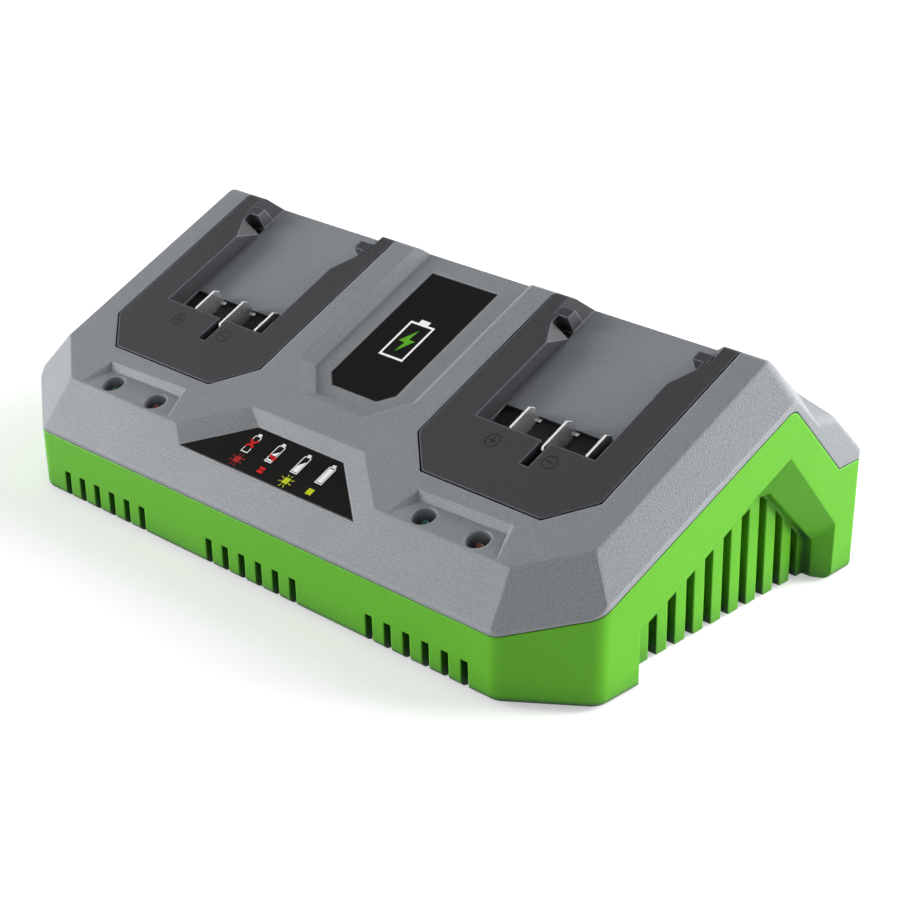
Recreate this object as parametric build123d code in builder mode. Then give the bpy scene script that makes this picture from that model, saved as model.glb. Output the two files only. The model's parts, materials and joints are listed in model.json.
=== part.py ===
"""Two-bay battery charger for slide-on power tool packs.

Millimetres, +Z up. The origin is on the table, under the middle of the housing.
X runs along the two bays, and the low front with its legend faces -Y.
"""

from build123d import *
from math import atan2, cos, degrees, radians, sin, tan
import os

# ---------------------------------------------------------------- housing
bay_pitch = 140.0
insert_width = 70.0
insert_to_side = 18.5  # from each bay's insert to the side of the housing
length = bay_pitch + insert_width + 2 * insert_to_side  # over the sides, at the front seam
depth = 133.5  # over the front and rear walls, at the same height
wall = 2.6
draft = 1.2  # degrees by which the walls lean out towards the top
foot_height = 0.6  # the rubber feet hold the base up by this
floor_wall = 2.6
corner_along_front = 23.3
corner_along_side = 17.3
corner_radius = 6.0
rear_corner_radius = 2.0
bottom_radius = 2.4

seam_height = 21.0  # at the front wall
seam_slope = 23.7  # degrees, up the sides
seam_peak_to_rear = 35.9  # before rounding
seam_peak_radius = 4.0
seam_heel_to_rear = 11.6  # where the steep part meets the level rear part
rear_seam_height = 37.0
seam_gap = 0.35  # the open line round the housing
tongue_inset = 1.4  # outer face of the lapped tongue, from the outside
tongue_rise = 1.8
tongue_clearance = 0.1

rim_height = 2.3  # upright edge of the top housing above the seam
deck_slope = 24.4  # degrees
front_slope = 54.6
rear_rim_height = 2.7  # from the level rear seam to the rear slope
deck_from_front = 10.3
deck_sink = 0.4  # of the deck's lower edge below the sharp line of the front facet
ridge_to_rear = 36.5
side_bevel = 8.7  # across, from the sides to the deck
corner_facet = 26.7  # across, from the sides to the corner of the deck
facet_behind_corner = 1.7  # where the corner facet leaves the side, behind the corner
facet_up_deck = 5.4  # where it meets the side bevel and the deck, behind the same corner
facet_across = 1.9
rear_bevel_length = 14.0  # from the ridge to the step that ends each rear bevel
step_forward = 2.3  # by which the step runs forward across the bevel
step_fall = 5.7  # and falls
step_length = 7.5
step_radius = 3.5
roof_radius = 0.8
ridge_radius = 2.4
rear_edge_radius = 1.5
soft_radius = 4.0  # between the side bevel and the rear bevel

# ---------------------------------------------------------------- bays
insert_front = 17.8  # all these are up the deck from its lower edge
insert_corner = 12.0
insert_corner_radius = 2.5
insert_depth = 5.9
insert_gap = 0.6
channel_width = 46.0
channel_front = 42.2
well_rear = 53.8
plate = 2.5  # the floor under each channel
fit = 0.3  # around pieces that drop into openings

blade_places = {"positive": -10.0, "sense": 4.5, "negative": 19.0}
longest_blade = "sense"
footed_blades = ("positive", "sense")
blade_thickness = 0.85
blade_front = 42.3
notch_width = 3.5
notch_front = 32.1  # of the groove that the longest blade reaches into
notch_blade_front = 39.8
blade_rear = 53.3
blade_top = 0.5  # below the deck
blade_tail_front = 43.4
blade_tail = 17.0  # below the deck
blade_foot = 1.2
block_top = 7.0  # below the deck
flange_thickness = 3.0
flange_side = 6.0
flange_end = 3.5
wire_radius = 0.8

hook_start_to_ridge = 19.7  # down the deck from the ridge
hook_end_to_ridge = 11.9
hook_reach = 4.5  # into the rail
hole_to_ridge = 11.6
hole_length = 3.2
tab_length = 3.5  # at its top
tab_inner = 0.6  # all these are from the edge of the channel
tab_outer = 6.0
tab_lean = 1.35
rail_crease = 6.6  # where the rail behind the tab starts to slope
rail_foot = 0.3

# ---------------------------------------------------------------- dents in the deck
valley_to_insert = 9.5
valley_half_width = (bay_pitch - insert_width) / 2 - valley_to_insert
valley_floor_inset = 4.1
valley_front = 26.9
valley_corner = 9.4
valley_depth = 3.2
valley_wall_slope = 52.0
label_to_valley = 11.1
label_half_width = valley_half_width - label_to_valley
label_front = 35.8
label_corner = 4.6
label_to_ridge = 5.7
label_thickness = 0.5
label_fit = 0.15
legend_depth = 2.85
legend_thickness = 0.3
legend_half_width = 24.9  # at the deck, along the upper edge
legend_top = 16.0
legend_spread = 1.2  # sideways for each millimetre down the deck
legend_wall = (6.1, 4.2)  # across and along, by which it widens for each depth
light_floor_slope = 14.6
light_floor = ((-21.6, 0), (21.5, 0), (16.2, 10.5), (-17.4, 9.6))
light_hole = 7.7
light_spacing = 21.0
light_up_floor = 4.5
light_tube = 10.6
light_board_drop = 9.5  # from the pocket floor to the board
light_radius = 1.5
light_height = 4.0

# ---------------------------------------------------------------- base
recess_depth = 9.0
recess_step = 3.0  # the steep step round its rear
recess_front = 32.8  # from the front wall
recess_rear_to_rear = 11.3  # from the rear wall
recess_peak_to_rear = 36.0
recess_below_seam = 15.4
recess_slope = 23.9
recess_fall = 49.2
panel_front = 43.6
panel_rear_to_rear = 14.2
panel_below_rim = 12.8
panel_fall = 46.3
slot_count = 9
slot_width = 3.6
slot_start = 47.6
slot_end_to_rear = 17.1
slot_from_panel_edge = 1.2
front_slot_count = 6
front_slot_pitch = 7.55
front_slot_width = 2.85
front_slot_top = 9.7
post_from_side = 19.5
post_from_front = 17.0
post_from_rear = 16.0
post_radius = 4.5
post_height = 19.0
boss_radius = 4.0
screw_head_radius = 3.0
screw_head_height = 2.2
screw_radius = 1.25
screw_reach = 11.0
foot_from_side = 36.0
foot_from_front = 15.0
foot_from_rear = 12.0
foot_radius = 6.0
foot_recess = 1.2
gland_height = 20.0
gland_radius = 6.0
gland_lip = 2.0
gland_flange = 1.2
gland_bore = 3.6
gland_sink = 0.4

# ---------------------------------------------------------------- boards and what they carry
board_side_clearance = 28.5  # from the outside of the housing to the main board
board_end_clearance = 20.75
board_top = 10.6
board_thickness = 1.6
board_corner = 2.0
board_screw_inset = (7.0, 6.0)
board_post_radius = 3.5
board_screw_head = 2.2
board_screw_height = 1.6
light_board_end = 6.0  # beyond the lights at each end
light_board_width = 11.0
transformer_core_size = (36.0, 14.0, 30.0)
transformer_window = (8.5, 20.0)
centre_leg = 12.5
transformer_coil = (28.4, 30.0, 19.6)
coil_corner = 5.0
mains_can = (9.0, 28.0)  # radius and height
output_can = (5.0, 20.0)
heat_sink_plate = (44.0, 2.5, 26.0)
heat_sink_fin = (1.5, 5.0)
heat_sink_fins = 6
transistor_size = (10.0, 4.6, 15.0)
rectifier_size = (20.0, 4.0, 15.0)
fuse_size = (20.0, 5.0, 5.0)
chip_size = (12.0, 12.0, 1.4)
connector_size = (12.0, 6.0, 8.0)
choke_radius = 10.0
choke_bore = 4.5
choke_width = 8.0

# ---------------------------------------------------------------- derived places
front_y = -depth / 2
rear_y = depth / 2
deck_y = front_y + deck_from_front
deck_z = seam_height + rim_height + deck_from_front * tan(radians(front_slope)) - deck_sink
deck_angle = radians(deck_slope)
ridge_y = rear_y - ridge_to_rear
ridge_z = deck_z + (ridge_y - deck_y) * tan(deck_angle)
ridge_up_deck = (ridge_y - deck_y) / cos(deck_angle)
rear_fall = ridge_z - rear_seam_height - rear_rim_height
rear_slope = degrees(atan2(rear_fall, ridge_to_rear))
bays = {"left": -bay_pitch / 2, "right": bay_pitch / 2}
far = 150.0  # farther than any wall, for cuts that run right through
above = 6.0  # cutting tools for the deck start this far above it
beyond = ridge_up_deck + 30  # and end this far up it
floor_top = foot_height + floor_wall


def four_corners(side, front, rear):
    """Places in the four corners, at these distances from the outside of the housing."""
    across = length / 2 - side
    return [(x, y) for y in (front_y + front, rear_y - rear) for x in (-across, across)]


post_places = four_corners(post_from_side, post_from_front, post_from_rear)
foot_places = four_corners(foot_from_side, foot_from_front, foot_from_rear)
board_screw_places = four_corners(
    board_side_clearance + board_screw_inset[0],
    board_end_clearance + board_screw_inset[1],
    board_end_clearance + board_screw_inset[1],
)
light_places = [(-light_spacing / 2, light_up_floor), (light_spacing / 2, light_up_floor)]
gland_plane = Plane(
    origin=(bays["left"], rear_y - gland_sink, gland_height), x_dir=(-1, 0, 0), z_dir=(0, 1, 0)
)

os.makedirs("parts", exist_ok=True)


def save(name, part):
    part.label = name
    export_step(part, f"parts/{name}.step")


def tilted(x, y, z, slope):
    """Plane facing up and forward, its local Y running up the slope."""
    angle = radians(slope)
    return Plane(origin=(x, y, z), x_dir=(1, 0, 0), z_dir=(0, -sin(angle), cos(angle)))


def deck_at(x, height=0):
    """The deck's plane, across to x and out of the deck by height."""
    return tilted(x, deck_y, deck_z, deck_slope).offset(height)


def on_deck(x, across, up_deck, height=0):
    """The point of space at these places on the deck, counted from the middle of a bay."""
    return deck_at(x).from_local_coords((across, up_deck, height))


def plane_through(a, b, c):
    """Plane through three points, facing up."""
    start = Vector(*a)
    normal = (Vector(*b) - start).cross(Vector(*c) - start)
    if normal.Z < 0:
        normal = -normal
    return Plane(origin=start, x_dir=Vector(*b) - start, z_dir=normal)


def deck_height(y):
    return deck_z + (y - deck_y) * tan(deck_angle)


def rear_height(y):
    return ridge_z - (y - ridge_y) * tan(radians(rear_slope))


def seam_at(y):
    return seam_height + (y - front_y) * tan(radians(seam_slope))


def side_planes(side):
    """Long bevel between the deck and one side, and the facet on the front corner."""
    edge = side * length / 2
    inner = side * (length / 2 - side_bevel)
    rim_y = front_y + corner_along_side + facet_behind_corner
    facet_y = front_y + corner_along_side + facet_up_deck
    rim = (edge, rim_y, seam_at(rim_y) + rim_height)
    low = (inner, facet_y, deck_height(facet_y))
    corner = (side * (length / 2 - corner_facet), deck_y, deck_z)
    facet = (inner - side * facet_across, facet_y, deck_height(facet_y))
    bevel = plane_through(rim, low, (inner, ridge_y, ridge_z))
    return bevel, plane_through(rim, corner, facet)


def rear_planes(side):
    """Rear bevel of one side, and the small step at which it ends."""
    edge = side * length / 2
    inner = side * (length / 2 - side_bevel)
    step_y = ridge_y + rear_bevel_length
    top = (inner, step_y, rear_height(step_y))
    foot = (edge, step_y - step_forward, rear_height(step_y) - step_fall)
    rear = (edge, step_y + step_length, rear_height(step_y + step_length))
    return plane_through((inner, ridge_y, ridge_z), top, foot), plane_through(top, foot, rear)


deck_plane = deck_at(0)
rear_plane = tilted(0, ridge_y, ridge_z, -rear_slope)
front_plane = tilted(0, deck_y, deck_z, front_slope)
roof_planes = [deck_plane, front_plane, rear_plane, *side_planes(-1), *side_planes(1)]


def rear_notch(side, inset):
    """What the rear bevel and its step cut away."""
    with BuildPart() as notch:
        with BuildSketch(Plane.XY.offset(seam_height)):
            with Locations((side * length / 2, ridge_y)):
                Rectangle(6 * side_bevel, 2 * ridge_to_rear)
        extrude(amount=ridge_z)
        for plane in rear_planes(side):
            split(bisect_by=plane.offset(-inset), keep=Keep.TOP)
    return notch.part


def housing_form(inset=0):
    """The whole housing as one block, or with every wall moved in by the inset."""
    bottom = floor_top if inset else foot_height
    lean = (seam_height - bottom) * tan(radians(draft))
    front_x = length / 2 - corner_along_front
    side_y = front_y + corner_along_side
    with BuildPart() as form:
        with BuildSketch(Plane.XY.offset(bottom)) as plan:
            with BuildLine():
                Polyline(
                    (-front_x, front_y),
                    (front_x, front_y),
                    (length / 2, side_y),
                    (length / 2, rear_y),
                    (-length / 2, rear_y),
                    (-length / 2, side_y),
                    close=True,
                )
            make_face()
            offset(amount=-inset - lean, kind=Kind.INTERSECTION)
            rear_corners = plan.vertices().sort_by(Axis.Y)[-2:]
            fillet(rear_corners, max(rear_corner_radius - inset, 0.5))
            front_corners = plan.vertices().sort_by(Axis.Y)[:4]
            fillet(front_corners, corner_radius - inset)
        extrude(amount=ridge_z + 10, taper=-draft)
        for plane in roof_planes:
            split(bisect_by=plane.offset(-inset), keep=Keep.BOTTOM)
        for side in (-1, 1):
            add(rear_notch(side, inset), mode=Mode.SUBTRACT)
        if not inset:
            round_roof(form)
    return form.part


def edges_between(form, pairs):
    """Edges of the form whose middles lie on both planes of a pair."""
    found = []
    for edge in form.edges():
        middle = edge @ 0.5
        for pair in pairs:
            if all(abs(plane.to_local_coords(middle).Z) < 0.001 for plane in pair):
                found.append(edge)
                break
    return found


def round_roof(form):
    """Rounds the edges of the roof, the corners beside the ridge most."""
    left_bevel, left_facet = side_planes(-1)
    right_bevel, right_facet = side_planes(1)
    rear_bevels, steps = zip(*[rear_planes(side) for side in (-1, 1)])
    kept_sharp = edges_between(form, [*zip(steps, rear_bevels), *zip(steps, [rear_plane] * 2)])
    step_edges = edges_between(form, [(step,) for step in steps])
    fillet([edge for edge in step_edges if edge not in kept_sharp], step_radius)
    beside_ridge = [(left_bevel, rear_bevels[0]), (right_bevel, rear_bevels[1])]
    fillet(edges_between(form, beside_ridge), soft_radius)
    fillet(edges_between(form, [(deck_plane, rear_plane)]), ridge_radius)
    rear_outline = edges_between(form, [(rear_plane,)])
    behind_ridge = [edge for edge in rear_outline if (edge @ 0.5).Y > ridge_y + ridge_radius]
    fillet(behind_ridge, rear_edge_radius)
    rest = [
        (deck_plane, front_plane),
        (deck_plane, left_bevel),
        (deck_plane, right_bevel),
        (deck_plane, left_facet),
        (deck_plane, right_facet),
        (front_plane, left_facet),
        (front_plane, right_facet),
        (left_bevel, left_facet),
        (right_bevel, right_facet),
    ]
    fillet(edges_between(form, rest), roof_radius)


def below_seam(rise=0):
    """Everything under the seam, with the seam lifted by the rise."""
    ahead = front_y - corner_along_side
    peak_y = rear_y - seam_peak_to_rear
    with BuildPart() as lower:
        with BuildSketch(Plane.YZ) as profile:
            with BuildLine():
                Polyline(
                    (ahead, seam_at(ahead) + rise),
                    (peak_y, seam_at(peak_y) + rise),
                    (rear_y - seam_heel_to_rear, rear_seam_height + rise),
                    (rear_y + far, rear_seam_height + rise),
                    (rear_y + far, -10),
                    (ahead, -10),
                    close=True,
                )
            make_face()
            fillet(profile.vertices().sort_by(Axis.Y)[-1], seam_peak_radius)
        extrude(amount=far, both=True)
    return lower.part


def strip(half_width, front, corner, rear):
    """Strip up the deck with a chamfered front end."""
    with BuildSketch() as shape:
        with BuildLine():
            Polyline(
                (corner - half_width, front),
                (half_width - corner, front),
                (half_width, front + corner),
                (half_width, rear),
                (-half_width, rear),
                (-half_width, front + corner),
                close=True,
            )
        make_face()
    return shape.sketch


# ---------------------------------------------------------------- dents in the deck
# Each takes a margin: with the wall as margin it is what the cavity leaves under the dent.
def insert_pocket(x, margin=0):
    with BuildPart() as pocket:
        with BuildSketch(deck_at(x, above)):
            add(strip(insert_width / 2, insert_front, insert_corner, beyond))
            offset(amount=insert_gap + margin, kind=Kind.INTERSECTION)
        extrude(amount=-above - insert_depth - (plate if margin else 0))
    return pocket.part


def valley(margin=0):
    """Shallow valley between the bays, with sloping walls."""
    half_width = valley_half_width - valley_floor_inset
    with BuildPart() as dent:
        with BuildSketch(deck_at(0, -valley_depth - margin)):
            add(strip(half_width, valley_front + valley_floor_inset, valley_corner, beyond))
            offset(amount=margin * 0.6, kind=Kind.INTERSECTION)
        extrude(amount=valley_depth + margin + 2, taper=-valley_wall_slope)
    return dent.part


def label_shape():
    return strip(label_half_width, label_front, label_corner, ridge_up_deck - label_to_ridge)


def label_pocket():
    with BuildPart() as dent:
        with BuildSketch(deck_at(0, -valley_depth - label_thickness)):
            add(label_shape())
        extrude(amount=above)
    return dent.part


def legend_outline(depths):
    """Outline of the legend's recess at so many of its depths above its floor."""
    back = legend_half_width + (depths - 1) * legend_wall[0]
    top = legend_top + (depths - 1) * legend_wall[1]
    front = -14.0
    with BuildSketch() as shape:
        with BuildLine():
            wide = back + (top - front) * legend_spread
            Polyline((-back, top), (back, top), (wide, front), (-wide, front), close=True)
        make_face()
    return shape.sketch


def legend_recess(margin=0):
    """Recess across the front edge of the deck; its floor runs out onto the front facet."""
    with BuildPart() as dent:
        for depths in (0, 2):
            height = (depths - 1) * legend_depth - (margin if depths == 0 else 0)
            with BuildSketch(deck_at(0, height)):
                add(legend_outline(depths))
                if margin:
                    offset(amount=margin * 0.6, kind=Kind.INTERSECTION)
        loft(ruled=True)
    return dent.part


def legend_sheet():
    """The black sheet that covers the whole floor of the recess."""
    with BuildPart() as sheet:
        with BuildSketch(deck_at(0, -legend_depth - legend_thickness)):
            add(legend_outline(0))
        extrude(amount=legend_thickness)
    return sheet.part


def light_plane(x, height=0):
    return tilted(x, deck_y, deck_z, light_floor_slope).offset(height)


def light_pocket(x, margin=0):
    """Dent with a flatter floor, starting at the lower edge of the deck."""
    with BuildPart() as dent:
        with BuildSketch(light_plane(x, -margin)):
            with BuildLine():
                Polyline(*light_floor, close=True)
            make_face()
            offset(amount=margin * 0.5 + 0.01, kind=Kind.INTERSECTION)
        extrude(amount=5 + margin, taper=-40)
    return dent.part


# ---------------------------------------------------------------- openings in the base
def recess_outline(front, rear, peak, peak_height, fall):
    """Five-sided outline of a side recess, open below."""
    low_front = peak_height - (peak - front) * tan(radians(recess_slope))
    low_rear = peak_height - (rear - peak) * tan(radians(fall))
    with BuildSketch() as shape:
        with BuildLine():
            Polyline(
                (front, -10),
                (front, low_front),
                (peak, peak_height),
                (rear, low_rear),
                (rear, -10),
                close=True,
            )
        make_face()
    return shape.sketch


recess_peak = rear_y - recess_peak_to_rear
recess_height = seam_at(recess_peak) - recess_below_seam
recess_rear = rear_y - recess_rear_to_rear
panel_rear = rear_y - panel_rear_to_rear
panel_height = recess_height - panel_below_rim


def panel_outline(lowered=0, shortened=0):
    """Outline of the flat panel, or of the bevel where it reaches the same depth."""
    slopes = tan(radians(recess_slope)) + tan(radians(panel_fall))
    peak = recess_peak - lowered / slopes
    height = panel_height - lowered / slopes * tan(radians(recess_slope))
    return recess_outline(
        front_y + panel_front, panel_rear - shortened, peak, height, panel_fall
    )


def side_recess(margin=0):
    """Both side recesses: a wide bevel all round, and a step to the panel at the rear."""
    panel_x = length / 2 - recess_depth - margin
    outside = length / 2 + 1
    with BuildPart() as recess:
        with BuildSketch(Plane.YZ.offset(panel_x)):
            add(panel_outline(5.2, 1.6))
            if margin:
                offset(amount=margin, kind=Kind.INTERSECTION)
        with BuildSketch(Plane.YZ.offset(outside)):
            add(
                recess_outline(
                    front_y + recess_front - 1, recess_rear + 0.5, recess_peak,
                    recess_height + 1.2, recess_fall
                )
            )
            if margin:
                offset(amount=margin, kind=Kind.INTERSECTION)
        loft(ruled=True)
        with BuildSketch(Plane.YZ.offset(panel_x)):
            add(panel_outline())
            if margin:
                offset(amount=margin, kind=Kind.INTERSECTION)
        extrude(amount=recess_step)
        mirror(about=Plane.YZ)
    return recess.part


def slots():
    last = rear_y - slot_end_to_rear - slot_width
    pitch = (last - front_y - slot_start) / (slot_count - 1)
    with BuildPart() as cut:
        with BuildSketch(Plane.YZ.offset(length / 2 - recess_depth - wall - 1)):
            for i in range(slot_count):
                with Locations((front_y + slot_start + slot_width / 2 + i * pitch, 0)):
                    Rectangle(slot_width, far)
            field = recess_outline(
                front_y + panel_front, panel_rear, recess_peak,
                panel_height - slot_from_panel_edge, panel_fall
            )
            add(field, mode=Mode.INTERSECT)
        extrude(amount=recess_depth + wall)
        mirror(about=Plane.YZ)
    return cut.part


def front_vents():
    with BuildPart() as cut:
        for x in (bays["left"], 0, bays["right"]):
            with BuildSketch(Plane.XY.offset(-1)):
                with Locations((x, front_y)):
                    with GridLocations(front_slot_pitch, 1, front_slot_count, 1):
                        Rectangle(front_slot_width, 2 * (wall + 2.4))
            extrude(amount=front_slot_top + 1)
    return cut.part


def columns(places, radius, low, high, sides=0):
    """Upright bars at the places, round or with so many sides."""
    with BuildPart() as bars:
        with BuildSketch(Plane.XY.offset(low)):
            with Locations(places):
                if sides:
                    RegularPolygon(radius, sides, major_radius=False)
                else:
                    Circle(radius)
        extrude(amount=high - low)
    return bars.part


def square_posts(places, radius, low, high):
    """Hidden moulded posts and pilot holes, eight-sided."""
    return columns(places, radius, low, high, 8)


# ---------------------------------------------------------------- the two halves of the housing
whole = housing_form()
inside = housing_form(wall)
tongue_outer = housing_form(tongue_inset)
groove_outer = housing_form(tongue_inset - tongue_clearance)

with BuildPart() as base_cavity:
    add(inside)
    add(side_recess(wall), mode=Mode.SUBTRACT)

with BuildPart() as tongue:
    add(tongue_outer)
    add(inside, mode=Mode.SUBTRACT)
    add(below_seam(tongue_rise), mode=Mode.INTERSECT)
    add(below_seam(-1), mode=Mode.SUBTRACT)

with BuildPart() as base_housing:
    add(whole)
    add(below_seam(), mode=Mode.INTERSECT)
    fillet(base_housing.faces().sort_by(Axis.Z)[0].outer_wire().edges(), bottom_radius)
    add(base_cavity.part, mode=Mode.SUBTRACT)
    add(tongue.part)
    add(side_recess(), mode=Mode.SUBTRACT)
    add(slots(), mode=Mode.SUBTRACT)
    add(front_vents(), mode=Mode.SUBTRACT)
    add(square_posts(post_places, post_radius, floor_top - 0.5, post_height))
    board_low = board_top - board_thickness
    add(square_posts(board_screw_places, board_post_radius, floor_top - 0.5, board_low))
    bore_top = post_height - 3
    add(columns(post_places, screw_head_radius + 0.6, -1, bore_top), mode=Mode.SUBTRACT)
    add(square_posts(post_places, screw_radius + 0.35, -1, post_height + 1), mode=Mode.SUBTRACT)
    add(square_posts(board_screw_places, screw_radius, floor_top, board_top), mode=Mode.SUBTRACT)
    foot_top = foot_height + foot_recess
    add(columns(foot_places, foot_radius + 0.1, -1, foot_top), mode=Mode.SUBTRACT)
    with BuildSketch(gland_plane):
        Circle(gland_radius)
    extrude(amount=-wall - 3, both=True, mode=Mode.SUBTRACT)
    with BuildSketch(gland_plane):
        Circle(gland_radius + gland_lip)
    extrude(amount=-gland_flange, both=True, mode=Mode.SUBTRACT)

with BuildPart() as deck_cavity:
    add(inside)
    for x in bays.values():
        add(insert_pocket(x, wall), mode=Mode.SUBTRACT)
        add(light_pocket(x, wall), mode=Mode.SUBTRACT)
    add(valley(wall), mode=Mode.SUBTRACT)
    add(legend_recess(wall), mode=Mode.SUBTRACT)

with BuildPart() as top_bosses:
    add(square_posts(post_places, boss_radius, post_height, far))
    for x in bays.values():
        with BuildSketch(light_plane(x, -light_board_drop)):
            with Locations(light_places):
                Rectangle(light_tube, light_tube)
        extrude(amount=light_board_drop)
    add(whole, mode=Mode.INTERSECT)

with BuildPart() as top_housing:
    add(whole)
    add(below_seam(seam_gap), mode=Mode.SUBTRACT)
    add(deck_cavity.part, mode=Mode.SUBTRACT)
    add(top_bosses.part)
    with BuildPart(mode=Mode.PRIVATE) as groove:
        add(groove_outer)
        add(below_seam(tongue_rise + tongue_clearance), mode=Mode.INTERSECT)
        add(top_bosses.part, mode=Mode.SUBTRACT)
    add(groove.part, mode=Mode.SUBTRACT)
    for x in bays.values():
        add(insert_pocket(x), mode=Mode.SUBTRACT)
        add(light_pocket(x), mode=Mode.SUBTRACT)
        with BuildSketch(light_plane(x, 2)):
            with Locations(light_places):
                Circle(light_hole / 2)
        extrude(amount=-light_board_drop - 4, mode=Mode.SUBTRACT)
        with BuildSketch(deck_at(x, 0)):
            with Locations((0, (channel_front + well_rear) / 2)):
                Rectangle(channel_width, well_rear - channel_front)
            for side in (-1, 1):
                hole_middle = ridge_up_deck - hole_to_ridge + hole_length / 2
                with Locations((side * (channel_width + hook_reach) / 2, hole_middle)):
                    Rectangle(hook_reach - 2 * fit, hole_length - 2 * fit)
        extrude(amount=-insert_depth - plate - 1, mode=Mode.SUBTRACT)
    add(valley(), mode=Mode.SUBTRACT)
    add(label_pocket(), mode=Mode.SUBTRACT)
    add(legend_recess(), mode=Mode.SUBTRACT)
    add(legend_sheet(), mode=Mode.SUBTRACT)
    pilot_top = post_height + screw_reach + 3
    add(square_posts(post_places, screw_radius, 0, pilot_top), mode=Mode.SUBTRACT)
save("base_housing", base_housing.part)
save("top_housing", top_housing.part)


# ---------------------------------------------------------------- pieces of the bays
def hook_ramp(x, side):
    """What is cut from a rail ahead of its hook: all above a face that slopes inwards."""
    half = channel_width / 2
    start = ridge_up_deck - hook_start_to_ridge
    end = ridge_up_deck - hook_end_to_ridge
    slope = plane_through(
        on_deck(x, side * half, start),
        on_deck(x, side * (half + hook_reach), end),
        on_deck(x, side * half, end + 0.7, -insert_depth),
    )
    with BuildPart() as cut:
        with BuildSketch(deck_at(x, above)):
            with Locations((side * (half + hook_reach / 2 - 1), (start + end) / 2)):
                Rectangle(hook_reach + 2, end - start + 0.6)
        extrude(amount=-above - insert_depth)
        split(bisect_by=slope, keep=Keep.TOP)
    return cut.part


def rail_slope(x):
    """What is cut from the inner corners of both rails behind their tabs."""
    rise = above / insert_depth * (rail_crease - rail_foot)
    half = channel_width / 2
    low = -insert_depth
    with BuildPart() as cut:
        start = ridge_up_deck - hole_to_ridge + hole_length
        origin = on_deck(x, 0, start)
        with BuildSketch(Plane(origin=origin, x_dir=(-1, 0, 0), z_dir=deck_at(x).y_dir)):
            for side in (-1, 1):
                with BuildLine():
                    Polyline(
                        (side * (half - 2), low),
                        (side * (half + rail_foot), low),
                        (side * (half + rail_crease + rise), above),
                        (side * (half - 2), above),
                        close=True,
                    )
                make_face()
        extrude(amount=beyond)
    return cut.part


def tabs(x):
    """The two tapered catches that stand behind the openings in the rails."""
    front = ridge_up_deck - hole_to_ridge + hole_length
    middle = front + tab_length / 2
    across = (channel_width + tab_inner + tab_outer) / 2
    with BuildPart() as pair:
        for side in (-1, 1):
            for height, lean in ((-insert_depth, tab_lean), (0, 0)):
                with BuildSketch(deck_at(x, height)):
                    with Locations((side * across, middle)):
                        Rectangle(tab_outer - tab_inner, tab_length + 2 * lean)
            loft(ruled=True)
    return pair.part


def bay_insert(x):
    """Frame of one bay: a broad front end and two rails with hooks near their rear ends."""
    half = channel_width / 2
    hole_start = ridge_up_deck - hole_to_ridge
    with BuildPart() as insert:
        with BuildSketch(deck_at(x, above)) as outline:
            add(strip(insert_width / 2, insert_front, insert_corner, beyond))
            fillet(outline.vertices().sort_by(Axis.Y)[:4], insert_corner_radius)
        extrude(amount=-above - insert_depth)
        with BuildSketch(deck_at(x, above)):
            with Locations((0, (channel_front + beyond + 5) / 2)):
                Rectangle(channel_width, beyond + 5 - channel_front)
            with Locations((blade_places[longest_blade], channel_front)):
                Rectangle(notch_width, 2 * (channel_front - notch_front))
        extrude(amount=-above - insert_depth - 1, mode=Mode.SUBTRACT)
        for side in (-1, 1):
            add(hook_ramp(x, side), mode=Mode.SUBTRACT)
        add(rail_slope(x), mode=Mode.SUBTRACT)
        add(tabs(x))
        with BuildSketch(deck_at(x, above)):
            for side in (-1, 1):
                with Locations((side * (half + hook_reach / 2 - 1), hole_start + hole_length / 2)):
                    Rectangle(hook_reach + 2, hole_length)
        extrude(amount=-above - insert_depth - 1, mode=Mode.SUBTRACT)
        add(whole, mode=Mode.INTERSECT)
    return insert.part


def terminal_block(x):
    """Block in the opening behind the insert's front end, its flange under the channel floor."""
    middle = (channel_front + well_rear) / 2
    opening = well_rear - channel_front
    with BuildPart() as block:
        with BuildSketch(deck_at(x, -insert_depth - plate - flange_thickness)):
            with Locations((0, middle)):
                Rectangle(channel_width + 2 * flange_side, opening + 2 * flange_end)
        extrude(amount=flange_thickness)
        with BuildSketch(deck_at(x, -insert_depth - plate)):
            with Locations((0, middle)):
                Rectangle(channel_width - 2 * fit, opening - 2 * fit)
        extrude(amount=insert_depth + plate - block_top)
        with BuildSketch(deck_at(x, -block_top + 1)):
            for u in blade_places.values():
                with Locations((u, (blade_tail_front + blade_rear) / 2)):
                    Rectangle(blade_thickness + 0.1, blade_rear - blade_tail_front + 0.1)
        extrude(amount=-10, mode=Mode.SUBTRACT)
    return block.part


def blade(x, name):
    """Thin contact blade, its tail going down through the block."""
    u = blade_places[name]
    front = notch_blade_front if name == longest_blade else blade_front
    low = -insert_depth + 0.3
    deck = deck_at(x)
    side_view = Plane(origin=on_deck(x, u, 0), x_dir=deck.y_dir, z_dir=(1, 0, 0))
    with BuildPart() as plate_part:
        with BuildSketch(side_view):
            with BuildLine():
                Polyline(
                    (front, -blade_top - 0.8),
                    (front + 0.8, -blade_top),
                    (blade_rear - 1.5, -blade_top),
                    (blade_rear, -blade_top - 1.5),
                    (blade_rear, -blade_tail),
                    (blade_tail_front, -blade_tail),
                    (blade_tail_front, low),
                    (front, low),
                    close=True,
                )
            make_face()
        extrude(amount=blade_thickness / 2, both=True)
        if name in footed_blades:
            with BuildSketch(deck_at(x, -block_top)):
                with Locations((u + blade_foot / 2, blade_rear - blade_foot / 2)):
                    Rectangle(blade_foot + blade_thickness, blade_foot)
            extrude(amount=blade_foot / 2)
    return plate_part.part


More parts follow.
